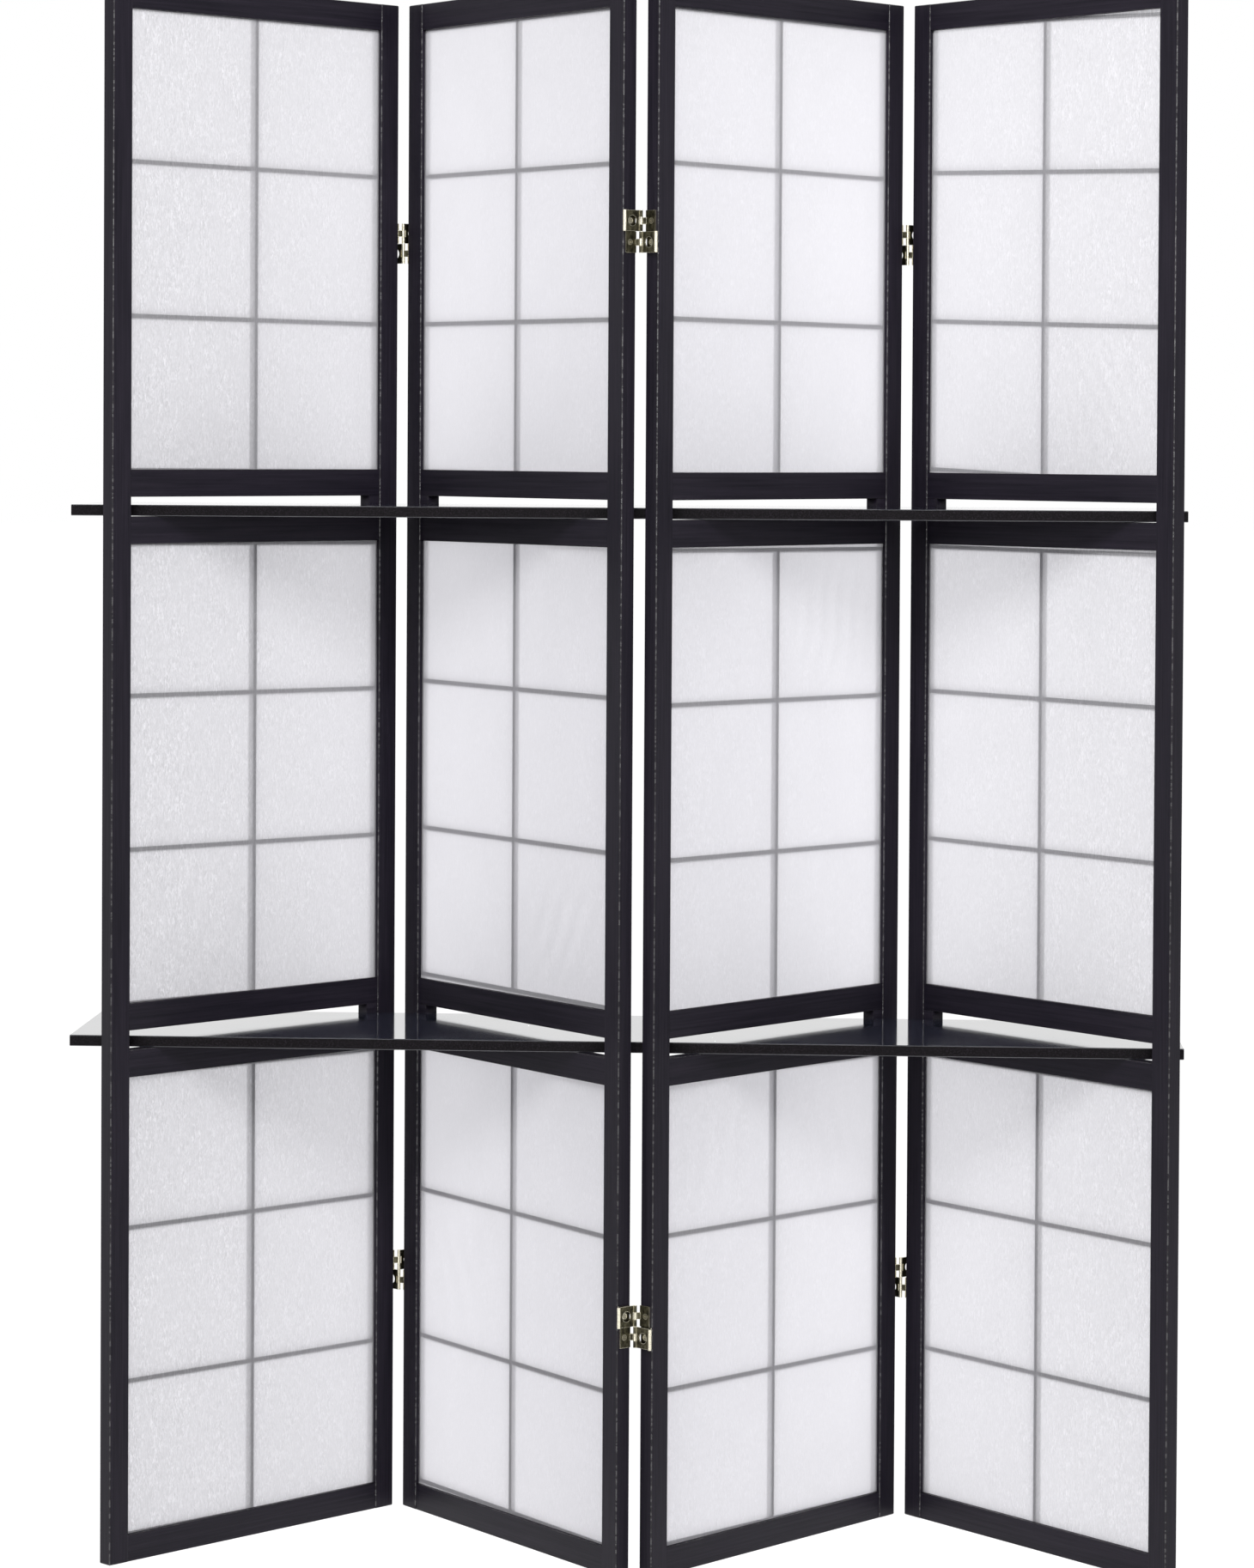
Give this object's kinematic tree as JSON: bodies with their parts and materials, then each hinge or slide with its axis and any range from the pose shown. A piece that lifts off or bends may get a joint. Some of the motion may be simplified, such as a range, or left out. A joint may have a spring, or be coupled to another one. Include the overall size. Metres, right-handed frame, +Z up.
{
  "type": "folding screen with shelves",
  "caption": "Free-standing zigzag room divider of framed paper panels on two-way hinges, with shelf boards lying through slots between the windows.",
  "frame": {"origin": "on the floor at the middle of the footprint's box, boards included", "axes": "+Z up, the front faces -Y, +X to the viewer's right along the shelf boards"},
  "size_m": [1.1988, 0.3376, 1.7],
  "materials": {
    "stained_wood": "near-black stained softwood under thin satin lacquer",
    "shelf_board": "near-black coated board with a half-gloss top and a dull edge",
    "shoji_paper": "white fibre paper, matte, stretched and glued",
    "antique_brass": "antiqued brass plate, dark in the flats and bright on the edges",
    "dowel_wood": "plain beech"
  },
  "bodies": {
    "panel_1": {"panel_1_left_stile": "stained_wood", "panel_1_right_stile": "stained_wood", "panel_1_top_rails": "stained_wood", "panel_1_middle_rails": "stained_wood", "panel_1_bottom_rails": "stained_wood", "panel_1_slot_blocks": "stained_wood", "panel_1_grilles": "stained_wood", "panel_1_papers": "shoji_paper", "panel_1_dowels": "dowel_wood", "panel_1_hinge_screws": "antique_brass", "panel_1_hinge_links": "antique_brass", "panel_1_idle_pins": "antique_brass", "panel_1_right_hinge_leaves": "antique_brass", "left_axis_pins": "antique_brass"},
    "panel_2": {"panel_2_left_stile": "stained_wood", "panel_2_right_stile": "stained_wood", "panel_2_top_rails": "stained_wood", "panel_2_middle_rails": "stained_wood", "panel_2_bottom_rails": "stained_wood", "panel_2_slot_blocks": "stained_wood", "panel_2_grilles": "stained_wood", "panel_2_papers": "shoji_paper", "panel_2_dowels": "dowel_wood", "panel_2_hinge_screws": "antique_brass", "panel_2_hinge_links": "antique_brass", "panel_2_idle_pins": "antique_brass", "panel_2_left_hinge_leaves": "antique_brass", "panel_2_right_hinge_leaves": "antique_brass"},
    "panel_3": {"panel_3_left_stile": "stained_wood", "panel_3_right_stile": "stained_wood", "panel_3_top_rails": "stained_wood", "panel_3_middle_rails": "stained_wood", "panel_3_bottom_rails": "stained_wood", "panel_3_slot_blocks": "stained_wood", "panel_3_grilles": "stained_wood", "panel_3_papers": "shoji_paper", "panel_3_dowels": "dowel_wood", "panel_3_hinge_screws": "antique_brass", "panel_3_hinge_links": "antique_brass", "panel_3_idle_pins": "antique_brass", "panel_3_left_hinge_leaves": "antique_brass", "panel_3_right_hinge_leaves": "antique_brass"},
    "panel_4": {"panel_4_left_stile": "stained_wood", "panel_4_right_stile": "stained_wood", "panel_4_top_rails": "stained_wood", "panel_4_middle_rails": "stained_wood", "panel_4_bottom_rails": "stained_wood", "panel_4_slot_blocks": "stained_wood", "panel_4_grilles": "stained_wood", "panel_4_papers": "shoji_paper", "panel_4_dowels": "dowel_wood", "panel_4_hinge_screws": "antique_brass", "panel_4_hinge_links": "antique_brass", "panel_4_idle_pins": "antique_brass", "panel_4_left_hinge_leaves": "antique_brass", "right_axis_pins": "antique_brass"},
    "middle_pins": {"middle_axis_pins": "antique_brass"},
    "upper_shelf": {"upper_shelf": "shelf_board"},
    "lower_shelf": {"lower_shelf": "shelf_board"}
  },
  "joints": [
    {"name": "middle_fold", "type": "hinge", "parent": "panel_2", "child": "panel_3", "pos_m": [0.017, -0.15309, 0.85], "axis": [0, 0, 1], "range_deg": [0, 77]},
    {"name": "left_fold", "type": "hinge", "parent": "panel_2", "child": "panel_1", "pos_m": [-0.26738, 0.15238, 0.85], "axis": [0, 0, 1], "range_deg": [0, 79.6]},
    {"name": "right_fold", "type": "hinge", "parent": "panel_3", "child": "panel_4", "pos_m": [0.30138, 0.15238, 0.85], "axis": [0, 0, -1], "range_deg": [0, 79.6]},
    {"name": "middle_pins_turn", "type": "hinge", "parent": "panel_2", "child": "middle_pins", "pos_m": [0.017, -0.15309, 0.85], "axis": [0, 0, 1], "range_deg": [0, 38.5]},
    {"name": "upper_shelf_slide", "type": "slide", "parent": "middle_pins", "child": "upper_shelf", "axis": [1, 0, 0], "range_m": [-1.18, 1.18]},
    {"name": "lower_shelf_slide", "type": "slide", "parent": "middle_pins", "child": "lower_shelf", "axis": [1, 0, 0], "range_m": [-1.18, 1.18]}
  ],
  "couplings": [
    {"joint": "left_fold", "follows": "middle_fold", "ratio": 1.0325},
    {"joint": "right_fold", "follows": "middle_fold", "ratio": 1.0325},
    {"joint": "middle_pins_turn", "follows": "middle_fold", "ratio": 0.5}
  ]
}
